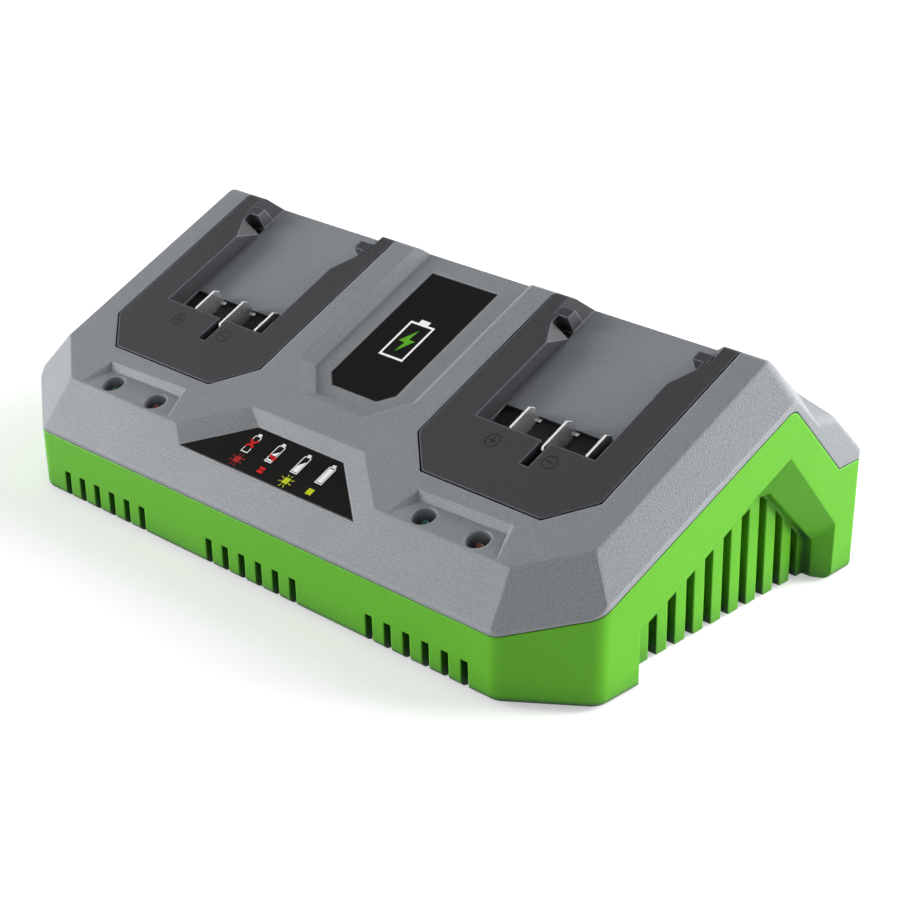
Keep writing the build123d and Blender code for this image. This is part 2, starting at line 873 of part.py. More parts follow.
def contact_wires(x):
    """Stiff wires between the blades' tails and the main board."""
    tail_middle = (blade_tail_front + blade_rear) / 2
    with BuildPart() as wires:
        for u in blade_places.values():
            tail = on_deck(x, u, tail_middle, -blade_tail)
            add(columns([(tail.X, tail.Y)], wire_radius, board_top, tail.Z - 0.5))
    return wires.part


for side, x in bays.items():
    save(f"bay_insert_{side}", bay_insert(x))
    save(f"terminal_block_{side}", terminal_block(x))
    for name in blade_places:
        save(f"{name}_blade_{side}", blade(x, name))
    save(f"contact_wires_{side}", contact_wires(x))

with BuildPart() as centre_label:
    with BuildSketch(deck_at(0, -valley_depth - label_thickness)):
        add(label_shape())
        offset(amount=-label_fit, kind=Kind.INTERSECTION)
    extrude(amount=label_thickness)
save("centre_label", centre_label.part)

with BuildPart() as legend_label:
    add(legend_sheet())
    add(whole, mode=Mode.INTERSECT)
save("legend_label", legend_label.part)

with BuildPart() as rubber_feet:
    add(columns(foot_places, foot_radius, 0, foot_height + foot_recess))
save("rubber_feet", rubber_feet.part)

with BuildPart() as case_screws:
    head_top = post_height - 3
    add(columns(post_places, screw_head_radius, head_top - screw_head_height, head_top))
    add(square_posts(post_places, screw_radius - 0.15, head_top, post_height + screw_reach))
save("case_screws", case_screws.part)

with BuildPart() as cord_gland:
    with BuildSketch(gland_plane):
        Circle(gland_radius + gland_lip - 0.1)
    extrude(amount=-gland_flange)
    with BuildSketch(gland_plane):
        Circle(gland_radius - 0.05)
    extrude(amount=-wall - 2)
    with BuildSketch(gland_plane.offset(1)):
        Circle(gland_bore)
    extrude(amount=-wall - 4, mode=Mode.SUBTRACT)
save("cord_gland", cord_gland.part)


# ---------------------------------------------------------------- lights and their boards
def lights(place):
    """One small light behind the same hole of every bay."""
    with BuildPart() as pair:
        for x in bays.values():
            with BuildSketch(light_plane(x, -light_board_drop)):
                with Locations(place):
                    Circle(light_radius)
            extrude(amount=light_height)
    return pair.part


save("green_leds", lights(light_places[0]))
save("red_leds", lights(light_places[1]))
for side, x in bays.items():
    with BuildPart() as led_board:
        with BuildSketch(light_plane(x, -light_board_drop)):
            with Locations((0, light_up_floor)):
                Rectangle(light_spacing + 2 * light_board_end, light_board_width)
        extrude(amount=-board_thickness)
    save(f"led_board_{side}", led_board.part)

# ---------------------------------------------------------------- main board
board_length = length - 2 * board_side_clearance
board_depth = depth - 2 * board_end_clearance
board_right = board_length / 2
board_rear = board_depth / 2


def cans(places, radius, height):
    """Round capacitors standing on the main board."""
    return columns(places, radius, board_top, board_top + height)


def blocks(places, size_x, size_y, size_z, low=board_top):
    """Equal rectangular pieces standing on the main board."""
    with BuildPart() as group:
        with BuildSketch(Plane.XY.offset(low)):
            with Locations(places):
                Rectangle(size_x, size_y)
        extrude(amount=size_z)
    return group.part


with BuildPart() as main_circuit_board:
    low = board_top - board_thickness
    add(blocks([(0, 0)], board_length, board_depth, board_thickness, low))
    chamfer(main_circuit_board.edges().filter_by(Axis.Z), board_corner)
    add(square_posts(board_screw_places, screw_radius + 0.15, 0, board_top + 1), mode=Mode.SUBTRACT)
save("main_circuit_board", main_circuit_board.part)

def on_board(across, back):
    """Place on the main board, as shares of the way from its middle to its edges."""
    return across * board_right, back * board_rear


coil_x, coil_y = on_board(-0.19, 0.26)
core_x, core_y, core_z = transformer_core_size
window_x, window_z = transformer_window
with BuildPart() as transformer_core:
    add(blocks([(coil_x, coil_y)], core_x, core_y, core_z))
    window_places = [(coil_x + side * (centre_leg + window_x) / 2, board_top + core_z / 2) for side in (-1, 1)]
    with BuildSketch(Plane.XZ.offset(-coil_y)):
        with Locations(window_places):
            Rectangle(window_x, window_z)
    extrude(amount=core_y, both=True, mode=Mode.SUBTRACT)
save("transformer_core", transformer_core.part)

coil_width, coil_depth, coil_height = transformer_coil
with BuildPart() as transformer_winding:
    with BuildSketch(Plane.XY.offset(board_top + (core_z - coil_height) / 2)) as turns:
        with Locations((coil_x, coil_y)):
            Rectangle(coil_width, coil_depth)
        chamfer(turns.vertices(), coil_corner)
        with Locations((coil_x, coil_y)):
            Rectangle(centre_leg + 0.2, core_y + 0.2, mode=Mode.SUBTRACT)
    extrude(amount=coil_height)
save("transformer_winding", transformer_winding.part)

mains_places = [on_board(-0.76, 0.39), on_board(-0.53, 0.39)]
save("mains_capacitors", cans(mains_places, *mains_can))
output_places = [on_board(across, back) for across in (0.17, 0.32) for back in (0.26, 0.57)]
save("output_capacitors", cans(output_places, *output_can))
save("bridge_rectifier", blocks([on_board(-0.84, -0.5)], *rectifier_size))
save("fuse", blocks([on_board(-0.62, -0.75)], *fuse_size))
save("control_chip", blocks([on_board(0.32, -0.43)], *chip_size))
save("output_connectors", blocks([on_board(0.65, -0.48), on_board(0.84, -0.48)], *connector_size))

sink_places = [on_board(-0.5, 0.83), on_board(0.59, 0.83)]
sink_length, sink_thickness, sink_height = heat_sink_plate
fin_thickness, fin_depth = heat_sink_fin
with BuildPart() as heat_sinks:
    add(blocks(sink_places, sink_length, sink_thickness, sink_height))
    for x, y in sink_places:
        fin_y = y + (sink_thickness + fin_depth) / 2 - 0.1
        pitch = (sink_length - fin_thickness - 2) / (heat_sink_fins - 1)
        fin_places = [(x + (i - (heat_sink_fins - 1) / 2) * pitch, fin_y) for i in range(heat_sink_fins)]
        add(blocks(fin_places, fin_thickness, fin_depth, sink_height))
save("heat_sinks", heat_sinks.part)

transistor_x, transistor_y, transistor_z = transistor_size
sink_face = on_board(0, 0.83)[1] - (sink_thickness + transistor_y) / 2 - 0.05
transistor_places = [(on_board(across, 0)[0], sink_face) for across in (-0.57, 0.48, 0.67)]
transistors = blocks(transistor_places, transistor_x, transistor_y, transistor_z, board_top + 6)
save("switching_transistors", transistors)

choke_x, choke_y = on_board(-0.33, -0.4)
with BuildPart() as line_filter_choke:
    with BuildSketch(Plane.XZ.offset(-choke_y)):
        with Locations((choke_x, board_top + choke_radius)):
            Circle(choke_radius)
            Circle(choke_bore, mode=Mode.SUBTRACT)
    extrude(amount=choke_width)
save("line_filter_choke", line_filter_choke.part)

with BuildPart() as board_screws:
    add(columns(board_screw_places, board_screw_head, board_top, board_top + board_screw_height))
    add(square_posts(board_screw_places, screw_radius - 0.15, floor_top + 0.5, board_top))
save("board_screws", board_screws.part)
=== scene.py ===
"""Looks of the two-bay battery charger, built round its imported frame.

Lengths are in millimetres, as in the part's source, until a mesh or a socket takes them in metres.
A place on the sloping deck is given across it from the middle, up it from its lower edge, and out.
"""

import json
from math import cos, hypot, pi, radians, sin

import bmesh
import bpy
from mathutils import Matrix, Vector


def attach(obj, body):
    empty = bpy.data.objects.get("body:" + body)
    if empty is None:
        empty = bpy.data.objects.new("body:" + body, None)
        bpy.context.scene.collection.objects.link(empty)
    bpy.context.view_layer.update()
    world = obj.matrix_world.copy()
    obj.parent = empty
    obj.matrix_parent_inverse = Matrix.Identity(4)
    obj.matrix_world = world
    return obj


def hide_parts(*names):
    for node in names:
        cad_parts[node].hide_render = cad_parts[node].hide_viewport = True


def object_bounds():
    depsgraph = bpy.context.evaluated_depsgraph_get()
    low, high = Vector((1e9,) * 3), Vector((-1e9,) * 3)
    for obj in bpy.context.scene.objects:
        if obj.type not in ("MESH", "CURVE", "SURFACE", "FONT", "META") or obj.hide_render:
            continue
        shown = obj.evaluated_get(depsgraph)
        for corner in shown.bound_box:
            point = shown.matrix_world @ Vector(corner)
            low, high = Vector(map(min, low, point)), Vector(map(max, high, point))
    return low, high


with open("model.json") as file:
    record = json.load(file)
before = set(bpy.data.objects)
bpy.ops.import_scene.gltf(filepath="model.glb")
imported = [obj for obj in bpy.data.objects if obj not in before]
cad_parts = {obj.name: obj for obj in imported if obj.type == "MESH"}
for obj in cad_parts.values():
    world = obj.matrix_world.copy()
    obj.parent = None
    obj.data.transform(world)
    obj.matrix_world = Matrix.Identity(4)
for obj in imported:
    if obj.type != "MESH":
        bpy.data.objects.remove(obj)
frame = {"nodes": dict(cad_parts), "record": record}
cad_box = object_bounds()
MM = 0.001

DECK_SLOPE = radians(24.4)
DECK_EDGE = (-56.45, 37.39)  # y and z of the deck's lower edge
DECK_UP = (0.0, cos(DECK_SLOPE), sin(DECK_SLOPE))
DECK_OUT = (0.0, -sin(DECK_SLOPE), cos(DECK_SLOPE))
BAY_PLACES = {"left": -70.0, "right": 70.0}

CHANNEL_HALF_WIDTH = 23.0
CHANNEL_FLOOR = -5.9  # out of the deck
CHANNEL_FINISH = (-4.0, -3.0)  # out of the deck, where the floor's finer finish fades out
WELL_HALF_WIDTH = 30.0
WELL_ENDS = (32.1, 53.8)  # up the deck
MASK_FADE = 0.5

LEGEND_LEVEL = -2.85  # out of the deck
LABEL_LEVEL = -3.2
LABEL_MIDDLE = 61.0  # up the deck


# ---------------------------------------------------------------- shader writing
class Wire:
    """A node's output that takes part in plain arithmetic."""

    def __init__(self, wiring, socket):
        self.wiring = wiring
        self.socket = socket

    def __add__(self, other):
        return self.wiring.maths("ADD", self, other)

    def __sub__(self, other):
        return self.wiring.maths("SUBTRACT", self, other)

    def __rsub__(self, other):
        return self.wiring.maths("SUBTRACT", other, self)

    def __mul__(self, other):
        return self.wiring.maths("MULTIPLY", self, other)

    def __truediv__(self, other):
        return self.wiring.maths("DIVIDE", self, other)

    __radd__ = __add__
    __rmul__ = __mul__

    def __abs__(self):
        return self.wiring.maths("ABSOLUTE", self)

    def step(self, low, high):
        """0 below low, 1 above high, smooth between."""
        settings = {"interpolation_type": "SMOOTHSTEP"}
        inputs = {"Value": self, "From Min": low, "From Max": high}
        return self.wiring.node("ShaderNodeMapRange", settings, inputs)


class Wiring:
    """Adds nodes to a node tree."""

    def __init__(self, tree):
        self.tree = tree

    def plug(self, target, value):
        """Links a wire to a socket, or writes a number, vector or colour in it."""
        if isinstance(value, Wire):
            self.tree.links.new(value.socket, target)
        elif target.type == "RGBA" and len(value) == 3:
            target.default_value = (*value, 1.0)
        else:
            target.default_value = value

    def node(self, kind, settings=None, inputs=None, output=0):
        made = self.tree.nodes.new(kind)
        for key, value in (settings or {}).items():
            setattr(made, key, value)
        for key, value in (inputs or {}).items():
            self.plug(made.inputs[key], value)
        return Wire(self, made.outputs[output])

    def maths(self, operation, first, second=0.0):
        return self.node("ShaderNodeMath", {"operation": operation}, {0: first, 1: second})

    def dot(self, first, second):
        settings = {"operation": "DOT_PRODUCT"}
        return self.node("ShaderNodeVectorMath", settings, {0: first, 1: second}, "Value")

    def mix(self, amount, first, second):
        """Blend of two colours."""
        settings = {"data_type": "RGBA"}
        return self.node("ShaderNodeMix", settings, {0: amount, 6: first, 7: second}, 2)


class Paint(Wiring):
    """One material under construction."""

    def __init__(self, name, surface):
        self.material = bpy.data.materials.new(name)
        self.material.use_nodes = True
        super().__init__(self.material.node_tree)
        self.shader = self.tree.nodes["Principled BSDF"]
        for socket, value in surface.items():
            self.set(socket, value)

    def set(self, socket, value):
        self.plug(self.shader.inputs[socket], value)

    def place(self):
        """Position on the object, in millimetres."""
        inputs = {0: self.node("ShaderNodeNewGeometry", output="Position"), "Scale": 1 / MM}
        return self.node("ShaderNodeVectorMath", {"operation": "SCALE"}, inputs)

    def face(self):
        """Normal of the mesh, without bumps and rounded edges."""
        return self.node("ShaderNodeNewGeometry", output="Normal")

    def noise(self, size, detail, stretch=(1.0, 1.0, 1.0)):
        """Cloudy pattern with features of a size, finer along the stretched axes."""
        inputs = {0: self.place(), 1: stretch}
        place = self.node("ShaderNodeVectorMath", {"operation": "MULTIPLY"}, inputs)
        inputs = {"Vector": place, "Scale": 1.0 / size, "Detail": detail}
        return self.node("ShaderNodeTexNoise", None, inputs)

    def rounded(self, radius):
        """Normals as if every edge had a radius."""
        return self.node("ShaderNodeBevel", {"samples": 6}, {"Radius": radius * MM})

    def edges(self, reach):
        """1 on edges, 0 on open faces."""
        return (1 - self.dot(self.rounded(reach), self.face())).step(0.005, 0.08)

    def openness(self, reach):
        """1 on open faces, towards 0 deep in slots and corners."""
        inputs = {"Distance": reach * MM}
        return self.node("ShaderNodeAmbientOcclusion", {"samples": 6}, inputs, "AO")

    def bump(self, height, depth, edge=0.0):
        """Relief of a depth for heights from 0 to 1, over edges rounded to a radius."""
        inputs = {"Height": height, "Distance": depth * MM}
        if edge:
            inputs["Normal"] = self.rounded(edge)
        self.set("Normal", self.node("ShaderNodeBump", None, inputs))


def shade(colour, amount):
    return tuple(min(1.0, part * amount) for part in colour)


# ---------------------------------------------------------------- masks on the deck
def deck_places(paint):
    """Distances from the middle of the nearer bay, up the deck and out of it."""
    place = paint.place()
    y, z = DECK_EDGE
    up_start = y * DECK_UP[1] + z * DECK_UP[2]
    out_start = y * DECK_OUT[1] + z * DECK_OUT[2]
    across = abs(abs(paint.dot(place, (1.0, 0.0, 0.0))) - BAY_PLACES["right"])
    return across, paint.dot(place, DECK_UP) - up_start, paint.dot(place, DECK_OUT) - out_start


def channel_mask(paint):
    """1 on the floors of the battery channels."""
    across, _, out = deck_places(paint)
    along_deck = paint.dot(paint.face(), DECK_OUT).step(0.95, 0.99)
    inside = 1 - across.step(CHANNEL_HALF_WIDTH, CHANNEL_HALF_WIDTH + MASK_FADE)
    return inside * along_deck * (1 - out.step(*CHANNEL_FINISH))


def well_shade_mask(paint):
    """1 on the cut edges round the contacts, below the channel floors, for painted shade."""
    across, up, out = deck_places(paint)
    front, rear = WELL_ENDS
    beside = 1 - across.step(WELL_HALF_WIDTH, WELL_HALF_WIDTH + MASK_FADE)
    along = up.step(front - 1.0, front) * (1 - up.step(rear + 0.1, rear + 0.4))
    below = 1 - out.step(CHANNEL_FLOOR - 0.3, CHANNEL_FLOOR - 0.1)
    return beside * along * below


# ---------------------------------------------------------------- materials
def moulded_plastic(
    name, colour, roughness, grain, depth,
    speckle=0.1, edge=0.35, edge_highlight=0.3, highlight_paleness=2.2, gloss=0.4,
    crevice_shade_colour=None, crevice_shade_reach=5.0, crevice_shade_ends=(0.18, 0.7),
    fine_finish_and_shade_mask=None, hollow_shade_mask=None,
):
    """Spark-textured plastic with a faint speckle, a slow drift of colour and painted shade in
    crevices.

    grain and depth are the size and the height of the texture, and speckle its share in the colour.
    edge is the radius of the edges, rub how strong a painted highlight along them is, and polish
    how much paler that painted highlight is.
    crevice_shade_reach is how far off a wall painted shade still falls, and crevice_shade_ends are
    the openness at which that painted shade is darkest and the one at which it ends.
    fine_finish_and_shade_mask picks faces with a finer finish that get painted shade towards walls,
    and hollow_shade_mask faces painted dark as shade.
    """
    paint = Paint(name, {"Specular IOR Level": gloss})
    texture = paint.noise(grain, detail=2.0)
    broad = paint.noise(size=32.0, detail=3.0)
    fine_finish_and_shade_share = fine_finish_and_shade_mask(paint) if fine_finish_and_shade_mask else 0.0
    texture_share = 1 - fine_finish_and_shade_share * 0.45

    grains = (texture.step(0.32, 0.68) - 0.5) * texture_share + 0.5
    tone = paint.mix(grains, shade(colour, 1 - speckle), shade(colour, 1 + speckle))
    tone = paint.mix(broad.step(0.35, 0.75) * 0.12, tone, shade(colour, 0.8))
    # painted shadow: the finer floors turn darker towards walls, where shade falls
    if fine_finish_and_shade_mask:
        wall_shade = 1 - paint.openness(22.0).step(0.3, 0.95)
        tone = paint.mix(fine_finish_and_shade_share * wall_shade, tone, shade(colour, 0.45))
    # painted highlight: edges turn paler, as where light catches them
    tone = paint.mix(paint.edges(0.8) * edge_highlight, tone, shade(colour, highlight_paleness))
    # painted shade: crevices and the masked hollows turn dark where little light gets in
    open_share = paint.openness(crevice_shade_reach).step(*crevice_shade_ends)
    if hollow_shade_mask:
        open_share = open_share * (1 - hollow_shade_mask(paint))

    paint.set("Base Color", paint.mix(open_share, crevice_shade_colour or shade(colour, 0.35), tone))
    paint.set("Roughness", broad * 0.12 + (roughness - 0.06))
    paint.bump(texture * texture_share, depth, edge)
    return paint.material


def printed_film(name, colour):
    """Matt film, a little smeared, with a painted highlight along its cut edge."""
    paint = Paint(name, {"Specular IOR Level": 0.15})
    weave = paint.noise(size=0.25, detail=2.0)
    smears = paint.noise(size=9.0, detail=4.0)
    face = paint.mix(smears.step(0.3, 0.8) * 0.25, colour, shade(colour, 1.5))
    # painted highlight along the film's edge
    cut_edge_and_highlight = paint.edges(0.45) * 0.7
    paint.set("Base Color", paint.mix(cut_edge_and_highlight, face, (0.4, 0.41, 0.43)))
    paint.set("Roughness", smears * 0.15 + 0.34)
    paint.bump(weave, 0.004, edge=0.15)
    return paint.material


def ink(name, colour):
    """Screen-printed ink, slightly uneven."""
    paint = Paint(name, {"Specular IOR Level": 0.3, "Roughness": 0.45})
    cover = paint.noise(size=0.5, detail=3.0)
    thin = cover.step(0.45, 0.8) * 0.2
    paint.set("Base Color", paint.mix(thin, colour, shade(colour, 0.7)))
    paint.bump(cover, 0.005)
    return paint.material


def brushed_metal(name, colour, roughness, stretch):
    """Metal with fine scratches along the least stretched axis, faintly stained."""
    paint = Paint(name, {"Metallic": 1.0})
    scratches = paint.noise(size=0.6, detail=4.0, stretch=stretch)
    stains = paint.noise(size=6.0, detail=3.0).step(0.45, 0.7) * 0.3
    paint.set("Base Color", paint.mix(stains, colour, shade(colour, 0.7)))
    paint.set("Roughness", scratches * 0.3 + (roughness - 0.12))
    paint.bump(scratches, 0.01, edge=0.1)
    return paint.material


def tinned_blade(name, colour):
    """Stamped sheet, its cut tops painted pale as a highlight, with painted shade towards its foot.
    """
    paint = Paint(name, {})
    # the cut tops of the blades: rougher and less metallic, and painted near-white as a highlight
    cut_edge_and_highlight = paint.dot(paint.face(), DECK_OUT).step(0.25, 0.6)
    scratches = paint.noise(size=0.5, detail=4.0, stretch=(8.0, 0.6, 1.6))
    # painted shade on the rolled faces towards the foot
    shaded_rolled_faces = paint.mix(paint.openness(6.0).step(0.1, 0.8), shade(colour, 0.2), colour)
    paint.set("Base Color", paint.mix(cut_edge_and_highlight, shaded_rolled_faces, (0.95, 0.95, 0.95)))
    paint.set("Metallic", 0.8 - cut_edge_and_highlight * 0.65)
    paint.set("Roughness", scratches * 0.2 + cut_edge_and_highlight * 0.25 + 0.14)
    paint.bump(scratches, 0.01, edge=0.2)
    return paint.material


def tinted_lens(name, colour):
    """Clouded clear plastic of a colour."""
    surface = {"Roughness": 0.12, "Transmission Weight": 0.35, "Coat Weight": 0.6}
    paint = Paint(name, surface)
    cloud = paint.noise(size=1.2, detail=2.0)
    paint.set("Base Color", paint.mix(cloud.step(0.3, 0.8), colour, shade(colour, 0.5)))
    paint.bump(cloud, 0.01)
    return paint.material


def rubber(name, colour):
    """Matt rubber with pores."""
    paint = Paint(name, {"Roughness": 0.8})
    pores = paint.noise(size=0.5, detail=4.0)
    paint.set("Base Color", paint.mix(pores.step(0.35, 0.7), colour, shade(colour, 1.9)))
    paint.bump(pores, 0.03, edge=0.3)
    return paint.material


def solder_mask(name):
    """Circuit board lacquer with copper tracks showing through."""
    paint = Paint(name, {"Roughness": 0.35, "Coat Weight": 0.3})
    inputs = {"Vector": paint.place(), "Scale": 0.22}
    cells = paint.node("ShaderNodeTexVoronoi", {"distance": "MANHATTAN"}, inputs)
    tracks = (cells * 3.0).step(0.9, 1.0)
    paint.set("Base Color", paint.mix(tracks, (0.015, 0.13, 0.04), (0.03, 0.22, 0.07)))
    paint.bump(tracks, 0.03)
    return paint.material


def shrink_sleeve(name, colour, print_colour):
    """Shrunk plastic sleeve, wrinkled, with faint print."""
    paint = Paint(name, {"Roughness": 0.3})
    wrinkles = paint.noise(size=2.0, detail=2.0, stretch=(1.0, 1.0, 0.2))
    printed = wrinkles.step(0.62, 0.66) * 0.2
    paint.set("Base Color", paint.mix(printed, colour, print_colour))
    paint.bump(wrinkles, 0.02)
    return paint.material


def wound_tape(name, colour):
    """Tape in layers of one width, with a darker line where they overlap."""
    tape_width = 3.0
    paint = Paint(name, {"Roughness": 0.4})
    height = paint.dot(paint.place(), (0.0, 0.0, 1.0))
    layers = paint.maths("FRACT", height / tape_width)
    paint.set("Base Color", paint.mix(layers.step(0.85, 0.95), colour, shade(colour, 0.6)))
    paint.bump(layers, 0.05)
    return paint.material


def sintered(name, colour):
    """Pressed and fired powder."""
    paint = Paint(name, {"Roughness": 0.65})
    grain = paint.noise(size=0.4, detail=4.0)
    paint.set("Base Color", paint.mix(grain, colour, shade(colour, 2.0)))
    paint.bump(grain, 0.03, edge=0.3)
    return paint.material


# rub and polish paint a highlight on edges; the crevice values, fine_finish_and_shade_mask and
# hollow_shade_mask paint shade
looks = {
    "green_plastic": moulded_plastic(
        "green plastic", (0.088, 0.36, 0.005), roughness=0.45, grain=0.5, depth=0.03,
        speckle=0.06, edge=0.9, edge_highlight=0.2, gloss=0.3,
        crevice_shade_colour=(0.001, 0.022, 0.008), crevice_shade_reach=22.0, crevice_shade_ends=(0.3, 0.62),
    ),
    "grey_plastic": moulded_plastic(
        "grey plastic", (0.235, 0.25, 0.268), roughness=0.55, grain=0.42, depth=0.2,
        speckle=0.13, edge=1.1, edge_highlight=0.4,
        crevice_shade_colour=(0.03, 0.033, 0.037), fine_finish_and_shade_mask=channel_mask, hollow_shade_mask=well_shade_mask,
    ),
    "charcoal_plastic": moulded_plastic(
        "charcoal plastic", (0.045, 0.046, 0.051), roughness=0.5, grain=0.45, depth=0.05,
        speckle=0.15, edge=0.4, edge_highlight=1.0, highlight_paleness=3.2, crevice_shade_colour=(0.004, 0.004, 0.005),
    ),
    "black_plastic": moulded_plastic(
        "black plastic", (0.012, 0.012, 0.013), roughness=0.45, grain=0.5, depth=0.02
    ),
    "connector_white": moulded_plastic(
        "white connector", (0.7, 0.7, 0.66), roughness=0.45, grain=0.5, depth=0.01
    ),
    "label_black": printed_film("black label", (0.006, 0.006, 0.0055)),
    "rubber": rubber("black rubber", (0.016, 0.016, 0.016)),
    "screw_steel": brushed_metal("zinc screws", (0.5, 0.5, 0.48), 0.35, stretch=(1.0, 1.0, 0.1)),
    "blade_metal": tinned_blade("tinned blades", (0.6, 0.61, 0.62)),
    "aluminium": brushed_metal(
        "heat sink metal", (0.75, 0.75, 0.75), 0.4, stretch=(4.0, 1.0, 0.2)
    ),
    "green_lens": tinted_lens("green light lens", (0.015, 0.15, 0.08)),
    "red_lens": tinted_lens("red light lens", (0.32, 0.05, 0.03)),
    "circuit_board": solder_mask("circuit board"),
    "capacitor_sleeve": shrink_sleeve(
        "capacitor sleeve", (0.012, 0.016, 0.035), print_colour=(0.5, 0.5, 0.5)
    ),
    "winding_tape": wound_tape("winding tape", (0.6, 0.42, 0.04)),
    "ferrite": sintered("ferrite", (0.02, 0.02, 0.022)),
}
inks = {
    "white": ink("white ink", (0.97, 0.97, 0.97)),
    "green": ink("green ink", (0.11, 0.42, 0.015)),
    "red": ink("red ink", (0.72, 0.01, 0.012)),
    "dull_red": ink("dull red ink", (0.4, 0.02, 0.015)),
    "lime": ink("lime ink", (0.56, 0.64, 0.01)),
    # near-black marks: painted shade of the real part's engraved grooves
    "mark": moulded_plastic(
        "polarity marks", (0.009, 0.009, 0.01), roughness=0.5, grain=0.4, depth=0.01
    ),
}
slot_of = {row["node"]: row["material_slot"] for row in frame["record"]["subparts"]}
for node_name, node in frame["nodes"].items():
    node.data.materials.clear()
    node.data.materials.append(looks[slot_of[node_name]])


# ---------------------------------------------------------------- outlines for print
def rectangle(left, low, right, high):
    return [(left, low), (right, low), (right, high), (left, high)]


def bar(start, end, width):
    """A straight stroke."""
    dx, dy = end[0] - start[0], end[1] - start[1]
    half = width / 2 / hypot(dx, dy)
    sx, sy = -dy * half, dx * half
    return [
        (start[0] - sx, start[1] - sy),
        (end[0] - sx, end[1] - sy),
        (end[0] + sx, end[1] + sy),
        (start[0] + sx, start[1] + sy),
    ]


def disc(centre, radius, corners=24):
    turns = [2 * pi * index / corners for index in range(corners)]
    return [(centre[0] + radius * cos(turn), centre[1] + radius * sin(turn)) for turn in turns]


def hoop(outer, inner):
    """Four-sided patches between two outlines with the same number of corners."""
    following = [*range(1, len(outer)), 0]
    return [[outer[i], outer[j], inner[j], inner[i]] for i, j in enumerate(following)]


def moved(outlines, across, up):
    return [[(x + across, y + up) for x, y in outline] for outline in outlines]


# ---------------------------------------------------------------- printing on the deck
PRINT_THICKNESS = 0.03
WELD_DISTANCE = 1e-7  # in metres


def on_deck(across, up, out):
    """A point in the deck's own frame as a place in metres."""
    y, z = DECK_EDGE
    return MM * Vector((
        across,
        y + up * DECK_UP[1] + out * DECK_OUT[1],
        z + up * DECK_UP[2] + out * DECK_OUT[2],
    ))


def print_on_deck(name, outlines, level, material):
    """Flat marks with a printed thickness, on a face parallel to the deck.

    Outlines that share an edge are welded into one closed form.
    """
    form = bmesh.new()
    for outline in outlines:
        low = [form.verts.new(on_deck(x, y, level)) for x, y in outline]
        high = [form.verts.new(on_deck(x, y, level + PRINT_THICKNESS)) for x, y in outline]
        form.faces.new(high)
        form.faces.new(low[::-1])
        for i in range(len(outline)):
            j = (i + 1) % len(outline)
            form.faces.new([low[i], low[j], high[j], high[i]])
    bmesh.ops.remove_doubles(form, verts=form.verts, dist=WELD_DISTANCE)
    inner_walls = [
        face for face in form.faces if all(len(edge.link_faces) > 2 for edge in face.edges)
    ]
    bmesh.ops.delete(form, geom=inner_walls, context="FACES")
    bmesh.ops.recalc_face_normals(form, faces=form.faces)
    add_piece(name, form, material)


def add_piece(name, form, material):
    """A piece of one material that rides on the housing."""
    mesh = bpy.data.meshes.new(name)
    form.to_mesh(mesh)
    form.free()
    mesh.materials.append(material)
    piece = bpy.data.objects.new(name, mesh)
    bpy.context.scene.collection.objects.link(piece)
    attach(piece, "root")
    return piece


# ---------------------------------------------------------------- legend of the charge states
CELL_WIDTH, CELL_LENGTH = 3.0, 7.1
NUB_WIDTH, NUB_LENGTH = 1.5, 0.9
SHOULDER = 0.45  # of the bevels beside the nub
LINE = 0.32
FILL_GAP = 0.22  # beside a cell's line
FILL_LOW = 0.6
CELL_FOOT = 1.7  # up the deck
CELL_PLACES = (-17.0, -6.3, 5.1, 15.8)  # left edges, across the deck
CROSS_REACH, CROSS_WIDTH = 1.45, 0.8
MARK_PLACES = ((-15.2, -1.5), (-4.1, -1.7), (6.9, -1.6), (17.4, -1.8))  # across and up
MARK_SIZE = 2.3
RAY_TURNS = (20, 70, 110, 160, 200, 250, 290, 340)
RAYS_BELOW_CELL = (70, 110)
RAY_START, RAY_END, SHORT_RAY_END, RAY_WIDTH = 1.65, 2.8, 2.4, 0.3


def cell_outline(inset):
    """A cell with bevelled shoulders, drawn in by an inset."""
    left, right = inset, CELL_WIDTH - inset
    low, high = inset, CELL_LENGTH - inset
    slant = SHOULDER - inset * 0.4
    shoulders = [(right, high - slant), (right - slant, high), (left + slant, high)]
    return [(left, low), (right, low), *shoulders, (left, high - slant)]


def cell_nub():
    middle, half = CELL_WIDTH / 2, NUB_WIDTH / 2
    low, high = CELL_LENGTH - LINE / 2, CELL_LENGTH + NUB_LENGTH
    return rectangle(middle - half, low, middle + half, high)


def cell():
    return [*hoop(cell_outline(0), cell_outline(LINE)), cell_nub()]


def broken_cell():
    """The cell with a gap in each long side."""
    gap_low, gap_high = 2.0, 5.0
    inner = cell_outline(LINE)
    inner_right, right_shoulder = inner[2]
    inner_left, left_shoulder = inner[5]
    sides = [
        rectangle(0, LINE, inner_left, gap_low),
        rectangle(inner_right, LINE, CELL_WIDTH, gap_low),
        rectangle(0, gap_high, inner_left, left_shoulder),
        rectangle(inner_right, gap_high, CELL_WIDTH, right_shoulder),
    ]
    top = hoop(cell_outline(0), inner)[2:5]
    return [rectangle(0, 0, CELL_WIDTH, LINE), *sides, *top, cell_nub()]


def fill(low, left_high, right_high):
    """Charge in a cell, with a slanting top."""
    left, right = LINE + FILL_GAP, CELL_WIDTH - LINE - FILL_GAP
    return [(left, low), (right, low), (right, right_high), (left, left_high)]


